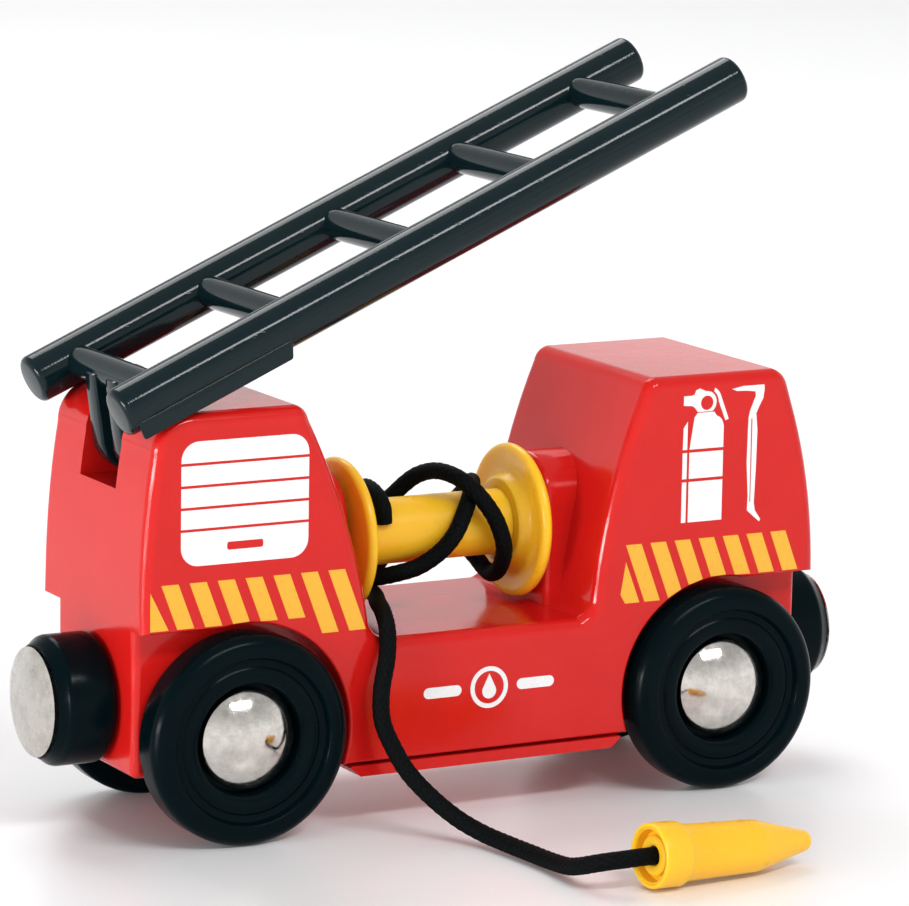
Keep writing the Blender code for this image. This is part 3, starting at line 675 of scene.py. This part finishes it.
def pillar(low_x, high_x):
    """Round-topped bearing for the reel's axle."""
    half, foot = PILLAR_HALF_WIDTH, DECK_Z - 0.0006
    outline = [(-half, foot), (half, foot)] + arc(0.0, REEL_AXIS.z + 0.0024, half, 0, 180, 28)
    return prism(outline, low_x, high_x, 0.0006, 4, "X")


def body_shell():
    """The whole body: towers and skirt, core, pillars, ladder slot and the wells underneath."""
    shell = upper_body()
    core = block((-0.0150, -CORE_HALF_WIDTH, SKIRT_Z), (0.0150, CORE_HALF_WIDTH, DECK_Z - 0.001))
    shell = boolean(shell, core, "UNION")
    for sign in (-1, 1):
        near, far = sorted((sign * 0.0145, sign * CORE_HALF_LENGTH))
        shell = boolean(shell, block((near, -CORE_HALF_WIDTH, SKIRT_Z),
                                     (far, CORE_HALF_WIDTH, FOOT_Z + 0.001), 0.0009, 4), "UNION")
    shell = boolean(shell, pillar(REAR_PILLAR_X, REEL_REAR_X - PILLAR_GAP), "UNION")
    shell = boolean(shell, pillar(REEL_FRONT_X + PILLAR_GAP, FRONT_PILLAR_X), "UNION")
    ladder_slot = ((-0.0440, -0.0045, 0.0375), (-0.0309, 0.0045, 0.0490))
    well_under_core = ((-0.0389, -0.0079, 0.0060), (0.0389, 0.0079, 0.0090))
    well_under_skirt = ((-0.0150, -0.0098, 0.0060), (0.0150, 0.0098, 0.0089))
    for low, high in (ladder_slot, well_under_core, well_under_skirt):
        shell = boolean(shell, block(low, high), "DIFFERENCE")
    return add_piece("body", shell, "red", "chassis", ["body_shell"], 30.0, flat_faces=True)


# ---- running gear ------------------------------------------------------------
def wheel_profile():
    """Half section of a wheel: (radius, distance out from its inner face)."""
    rim, width = WHEEL_RADIUS, WHEEL_HIGH.y - WHEEL_LOW.y
    points = [(0.0018, 0.0), (rim - 0.0009, 0.0)]
    points += arc(rim - 0.0007, 0.0007, 0.0007, -80, 0, 5)
    points += arc(rim - 0.0016, width - 0.0016, 0.0016, 0, 88, 12)
    points += arc(0.00915, width - 0.0002, 0.0002, 90, 165, 4)
    points += [(0.00872, width - 0.00068), (0.00858, width - 0.00072), (0.00800, width - 0.00074)]
    points += [(0.00782, width - 0.00060), (0.00765, width - 0.00052), (0.00720, width - 0.00050)]
    points += [(0.00665, width - 0.00054), (0.00625, width - 0.00075), (0.00602, width - 0.00115)]
    points += [(0.00588, width - 0.00180), (0.00582, 0.0020), (0.0018, 0.0020)]
    return points


def cap_profile():
    """Domed hub cap: a rolled edge and a low round dome."""
    inner = CAP_LOW.y - WHEEL_LOW.y
    top = CAP_HIGH.y - WHEEL_LOW.y
    edge, foot = 0.0053, 0.0032
    dome = []
    for i in range(21):
        r = edge * math.cos(math.radians(90 * i / 20))
        dome.append((r, foot + (top - foot) * (1 - (r / edge) ** 2.3)))
    dome[-1] = (0.0, top)
    return [(0.0, inner), (0.0053, inner), (0.0054, inner + 0.0001), (0.0054, 0.0030),
            (0.00537, 0.00313)] + dome


def running_gear():
    """Four wheels with their hub caps."""
    for end, centre in AXLES.items():
        for side, out in (("left", 1), ("right", -1)):
            place = centre + Vector((0, out * WHEEL_LOW.y, 0))
            add_piece(f"{end}_tyre_{side}", turned(wheel_profile(), (0, out, 0), place, 112),
                      "black", f"{end}_wheels", [f"{end}_wheel_{side}"], 26.0)
            add_piece(f"{end}_cap_{side}", turned(cap_profile(), (0, out, 0), place, 64),
                      "chrome", f"{end}_wheels", [f"{end}_hub_cap_{side}"], 40.0)


def couplings():
    """Black sleeve and domed metal face at each end."""
    outer, lip = SLEEVE_HIGH.y, SLEEVE_HIGH.x
    for end, sign in (("rear", -1), ("front", 1)):
        place, axis = Vector((0.0, 0.0, COUPLING_Z)), (sign, 0, 0)
        sleeve = [(0.0011, SLEEVE_LOW.x)]
        sleeve += arc(outer - 0.0009, SLEEVE_LOW.x + 0.0009, 0.0009, -90, 0, 7)
        sleeve += arc(outer - 0.0010, lip - 0.0017, 0.0010, 0, 55, 7)
        sleeve += arc(0.0059, lip - 0.0003, 0.0003, 60, 180, 6)
        sleeve += [(0.0055, lip - 0.0008), (0.0055, 0.0430), (0.0011, 0.0430)]
        add_piece(f"{end}_sleeve", turned(sleeve, axis, place, 96), "black", "chassis",
                  [f"{end}_coupling_sleeve"], 30.0)
        edge, tip, back = FACE_HIGH.y, FACE_HIGH.x, FACE_LOW.x
        low = back + 0.00012
        face = [(0.0, back), (edge - 0.0001, back), (edge, low)]
        for i in range(1, 21):
            r = edge * math.cos(math.radians(90 * i / 20))
            face.append((r, low + (tip - low) * (1 - (r / edge) ** 2.4)))
        face[-1] = (0.0, tip)
        add_piece(f"{end}_face", turned(face, axis, place, 96), "face", "chassis",
                  [f"{end}_coupling_face"], 40.0)


# ---- ladder ------------------------------------------------------------------
def ladder_point(along, y, above):
    """A point of the ladder from its own axes: along the rails, across, off their plane."""
    c, s = math.cos(LADDER_TILT), math.sin(LADDER_TILT)
    off = PIVOT_TO_RAIL + above
    return PIVOT + Vector((along * c - off * s, y, along * s + off * c))


def ladder_prism(outline, low, high, edge_round):
    placed = [ladder_point(along, 0.0, above) for along, above in outline]
    return prism([(p.x, p.z) for p in placed], low, high, edge_round, 3)


def ladder():
    """Two rails, five rungs, a pair of pivot lugs and a narrow lip along each rail's tail."""
    parts = []
    for y in (-RAIL_Y, RAIL_Y):
        parts.append(bar(RAIL_RADIUS, ladder_point(-LADDER_TAIL, y, 0), ladder_point(LADDER_HEAD, y, 0),
                         0.0007, 56))
    for number in range(RUNGS):
        along = number * RUNG_PITCH
        parts.append(bar(RUNG_RADIUS, ladder_point(along, -RAIL_Y, 0), ladder_point(along, RAIL_Y, 0)))
    lug = arc(0.0, -PIVOT_TO_RAIL, 0.0040, 170, 370, 24) + [(0.0019, 0.0006), (-0.0019, 0.0006)]
    lip = [(-LADDER_TAIL + 0.0009, -0.0031), (RUNG_PITCH - 0.0025, -0.0031),
           (RUNG_PITCH - 0.0017, -0.0011), (-LADDER_TAIL + 0.0009, -0.0011)]
    for side in (-1, 1):
        low, high = sorted((side * 0.0013, side * 0.0039))
        parts.append(ladder_prism(lug, low, high, 0.0003))
        low, high = sorted((side * 0.0129, side * 0.0134))
        parts.append(ladder_prism(rounded(lip, 0.0004), low, high, 0.0002))
    return add_piece("ladder_frame", joined(parts), "ladder", "ladder", ["ladder"], 34.0)


# ---- reel --------------------------------------------------------------------
def disc_side(edge, inward):
    """Dished inner side and round rim of a flange, from the spindle out; heights from its back."""
    rim, bead = FLANGE_RADIUS, 0.00062
    points = [(0.0040, edge + inward * 0.0024), (0.0047, edge + inward * 0.00232)]
    points += [(0.0050, edge + inward * 0.0020), (0.0052, edge + inward * 0.0014)]
    points += [(0.0056, edge + inward * 0.00105), (0.0064, edge + inward * 0.00100)]
    points += [(0.0072, edge + inward * 0.00115), (0.0077, edge + inward * 0.00130)]
    for angle in range(80, -91, -17):
        a = math.radians(angle)
        points.append((rim - bead + bead * math.cos(a), edge + inward * (0.00068 + bead * math.sin(a))))
    return points


def reel():
    """Spool with its rear flange and spindle, and the pressed-on front flange."""
    place, bore = Vector((0.0, 0.0, REEL_AXIS.z)), 0.0018
    rear, front = REEL_REAR_X, REEL_FRONT_X
    spool = [(bore, rear), (0.0062, rear)] + list(reversed(disc_side(rear, 1)))
    spool += [(SPINDLE_RADIUS, rear + 0.0026), (SPINDLE_RADIUS, front - 0.0024), (0.0028, front - 0.0024),
              (0.0028, front - 0.0002), (bore, front - 0.0002)]
    add_piece("spool", turned(spool, (1, 0, 0), place, 96), "yellow", "reel", ["reel_spool"], 40.0)
    flange = [(0.0031, front - 0.0024)] + disc_side(front, -1) + [(0.0062, front), (0.0031, front)]
    add_piece("flange", turned(flange, (1, 0, 0), place, 96), "yellow", "reel", ["reel_flange"], 40.0)


# ---- prints ------------------------------------------------------------------
def printed(name, finish, shapes, side):
    """Thin ink shapes on one flat side of the body. Each shape is a list of closed outlines in
    millimetres: its edge first, then its holes."""
    curve = bpy.data.curves.new(name, "CURVE")
    curve.dimensions = "2D"
    curve.fill_mode = "BOTH"
    curve.extrude = PRINT_PROUD / 2
    for outline in [o for shape in shapes for o in shape]:
        spline = curve.splines.new("POLY")
        spline.points.add(len(outline) - 1)
        spline.use_cyclic_u = True
        for point, (x, z) in zip(spline.points, outline):
            point.co = (x * MM, z * MM, 0.0, 1.0)
    holder = bpy.data.objects.new(name, curve)
    bpy.context.scene.collection.objects.link(holder)
    bpy.context.view_layer.update()
    mesh = bpy.data.meshes.new_from_object(
        holder.evaluated_get(bpy.context.evaluated_depsgraph_get()))
    bpy.data.objects.remove(holder, do_unlink=True)
    mesh.transform(Matrix.Rotation(math.radians(90), 4, "X"))
    if side > 0:
        mesh.transform(Matrix.Scale(-1, 4, (0, 1, 0)))
        mesh.flip_normals()
    mesh.transform(Matrix.Translation((0, side * (HALF_WIDTH + PRINT_PROUD / 2), 0)))
    return add_piece(name, mesh, finish, "chassis", (), 30.0)


def rounded_rect(low_x, low_z, high_x, high_z, radius, steps=8):
    corners = [(high_x - radius, high_z - radius, 0), (low_x + radius, high_z - radius, 90),
               (low_x + radius, low_z + radius, 180), (high_x - radius, low_z + radius, 270)]
    return [p for x, z, start in corners for p in arc(x, z, radius, start, start + 90, steps)]


def shutter_shapes():
    """Roller shutter: a round-cornered panel in five bands, with a pull slit in the lowest."""
    left, right, bottom, top, radius = -36.8, -22.05, 30.35, 43.5, 2.0
    line = 0.30
    cuts = [41.1, 38.75, 36.45, 34.15]
    edge = rounded_rect(left, bottom, right, top, radius)
    shapes = []
    for high, low in zip([top] + cuts, cuts + [bottom]):
        upper = high - (line / 2 if high != top else 0.0)
        lower = low + (line / 2 if low != bottom else 0.0)
        band = [(x, min(max(z, lower), upper)) for x, z in edge if lower <= z <= upper]
        if low == bottom:
            band = [(right, upper), (left, upper)] + [p for p in band if p[1] < 34.0]
            slit = rounded_rect(-31.5, 31.8, -27.3, 32.65, 0.25, 4)
            shapes.append([band, slit])
        elif high == top:
            shapes.append([band + [(left, lower), (right, lower)]])
        else:
            shapes.append([[(left, lower), (right, lower), (right, upper), (left, upper)]])
    return shapes


def stripe(left, top, bottom, arch_x):
    """One slanted stripe whose sides end at the bottom line or above the wheel arch."""
    width, lean, clearance = 1.95, 0.385, ARCH_RADIUS / MM + 0.25
    corners = [(left, top), (left + width, top)]
    for start in (left + width, left):
        z = bottom
        while z < top:
            x = start + (top - z) * lean
            if math.hypot(x - arch_x, z - WHEEL_RADIUS / MM) > clearance:
                break
            z += 0.05
        corners.append((start + (top - z) * lean, z))
    return [corners]


def extinguisher_shapes():
    """Fire extinguisher: bottle in three bands with a shine line, valve, gauge and lever."""
    left, right = 23.6, 28.75
    shine = (24.15, 24.45)
    shapes = []
    for low, high in ((30.2, 34.7), (35.05, 37.95)):
        shapes.append([[(left, low), (shine[0], low), (shine[0], high), (left, high)]])
        shapes.append([[(shine[1], low), (right, low), (right, high), (shine[1], high)]])
    shapes.append([[(left, 38.3), (shine[0], 38.3), (shine[0], 41.4), (left + 0.05, 40.7)]])
    shoulder = [(shine[1], 38.3), (right, 38.3), (right, 40.7)] + arc(27.5, 40.7, 1.2, 10, 75, 5)
    shoulder += [(27.5, 42.3), (25.4, 42.3), (25.0, 41.8)]
    shapes.append([shoulder])
    head = [(25.4, 42.4), (27.3, 42.4)] + arc(26.5, 43.4, 1.25, -50, 95, 12)
    head += [(25.6, 45.0), (25.1, 44.8), (24.95, 44.35), (24.6, 44.25), (23.6, 44.25), (23.6, 43.2),
             (24.7, 43.1), (25.0, 42.9)]
    gauge = arc(26.55, 43.35, 0.80, 0, 360, 24)[:-1]
    shapes.append([head, gauge])
    lever = arc(26.6, 43.35, 1.85, 60, 28, 5)
    lever += [(29.35, 41.4), (28.95, 41.25)] + arc(26.6, 43.35, 1.45, 2, 55, 5)
    shapes.append([lever])
    return shapes


def crowbar_shapes():
    """Crowbar: hooked claw at the top, straight shaft with a shine line, flared foot."""
    bar_outline = [
        (29.70, 44.65), (31.15, 44.90), (33.85, 44.90), (33.90, 44.40), (33.75, 43.40),
        (33.30, 42.60), (32.90, 41.75), (33.10, 39.90), (33.05, 36.20), (32.90, 31.80),
        (33.05, 30.90), (33.80, 29.85), (33.65, 29.60), (32.75, 30.35), (32.05, 30.95),
        (32.10, 32.60), (31.85, 36.30), (31.90, 40.00), (31.95, 41.40), (32.10, 42.05),
        (32.45, 42.90), (32.80, 43.70), (32.75, 44.20), (31.60, 44.35), (30.35, 44.40)]
    shine = [(32.28, 41.2), (32.45, 41.2), (32.45, 31.9), (32.32, 31.9)]
    return [[bar_outline, shine]]


def emblem_shapes():
    """Plain mark on the skirt: a ring with a drop, and a bar each side."""
    ring = [arc(0.0, 14.1, 2.3, 0, 360, 36)[:-1], arc(0.0, 14.1, 1.8, 0, 360, 36)[:-1]]
    drop = arc(0.0, 13.7, 0.85, -215, 35, 16) + [(0.0, 15.6)]
    bars = [[rounded_rect(low, 13.5, high, 14.7, 0.6, 6)] for low, high in ((-8.0, -3.4), (3.4, 8.0))]
    return [ring, [drop]] + bars


def prints():
    """All prints on both sides, in millimetres along X and Z."""
    rear_arch, front_arch = AXLES["rear"].x / MM, AXLES["front"].x / MM
    stripes = [[[(-40.25, 27.9), (-38.15, 23.8), (-40.25, 23.8)]],
               [[(16.75, 26.4), (18.55, 21.8), (16.75, 21.8), (16.15, 22.8)]]]
    for number in range(7):
        rear_bottom = 21.9 if number > 4 else 23.8
        front_bottom = 21.8 if number < 4 else 23.8
        stripes.append(stripe(-39.0 + 3.23 * number, 28.6, rear_bottom, rear_arch))
        stripes.append(stripe(16.7 + 3.08 * number, 28.3, front_bottom, front_arch))
    for side, word in ((-1, "right"), (1, "left")):
        printed(f"shutter_print_{word}", "white_ink", shutter_shapes(), side)
        printed(f"tools_print_{word}", "white_ink", extinguisher_shapes() + crowbar_shapes(), side)
        printed(f"stripes_print_{word}", "yellow_ink", stripes, side)
        printed(f"emblem_print_{word}", "white_ink", emblem_shapes(), side)


# ---- carried-over CAD nodes --------------------------------------------------
def finish_cad_nodes():
    """Better materials for the CAD nodes that stay, and a small round on the base plate's edges."""
    for name, item in frame["nodes"].items():
        if item.hide_render:
            continue
        finish = "steel"
        if name == "base_plate":
            finish = "red"
        if name.endswith("magnet"):
            finish = "magnet"
        item.data.materials.clear()
        item.data.materials.append(MATERIALS[finish])
    plate = frame["nodes"]["base_plate"]
    soften = plate.modifiers.new("soften", "BEVEL")
    soften.limit_method = "ANGLE"
    soften.angle_limit = math.radians(35)
    soften.width = 0.00015
    soften.segments = 2


# ---- stage -------------------------------------------------------------------
# Name, azimuth, elevation, distance, size across and up, power.
LIGHTS = (
    ("key", 8, 44, 0.95, (0.50, 0.12), 3.8),
    ("left", -78, 4, 1.0, (0.50, 0.12), 5.6),
    ("back", 172, 52, 1.1, (0.60, 0.60), 5.4),
)


def studio():
    """Plain floor, a world that is brightest at the horizon, and the lights."""
    bm = bmesh.new()
    bmesh.ops.create_grid(bm, x_segments=2, y_segments=2, size=6.0)
    mesh = mesh_of(bm, "floor")
    mesh.materials.append(floor_material())
    floor = bpy.data.objects.new("floor", mesh)
    bpy.context.scene.collection.objects.link(floor)
    world = bpy.data.worlds.new("studio")
    world.use_nodes = True
    tree = world.node_tree
    backdrop = tree.nodes["Background"]
    backdrop.inputs["Color"].default_value = (1.0, 1.0, 1.0, 1.0)
    split = node(tree, "ShaderNodeSeparateXYZ")
    tree.links.new(node(tree, "ShaderNodeTexCoord").outputs["Generated"], split.inputs["Vector"])
    tree.links.new(ramp(tree, split.outputs["Z"], 1.16, 0.55, 0.02, 0.55),
                   backdrop.inputs["Strength"])
    bpy.context.scene.world = world
    bpy.context.scene.view_settings.view_transform = "Standard"
    for light in LIGHTS:
        add_light(*light)


def add_light(name, azimuth, elevation, distance, size, power):
    """Soft light aimed at the toy; azimuth 0 is on the -Y side and 90 on the +X side."""
    a, e = math.radians(azimuth), math.radians(elevation)
    way = Vector((math.sin(a) * math.cos(e), -math.cos(a) * math.cos(e), math.sin(e)))
    data = bpy.data.lights.new(name, "AREA")
    data.shape = "RECTANGLE"
    data.size, data.size_y = size
    data.energy = power
    lamp = bpy.data.objects.new(name, data)
    lamp.visible_camera = False
    lamp.location = Vector((0, 0, 0.03)) + way * distance
    lamp.rotation_mode = "QUATERNION"
    lamp.rotation_quaternion = (-way).to_track_quat("-Z", "Y")
    bpy.context.scene.collection.objects.link(lamp)


add_camera()
hose_piece, hose_route, hose_length = hose()
nozzle_piece = nozzle()
body_shell()
running_gear()
couplings()
ladder()
reel()
prints()
finish_cad_nodes()
studio()
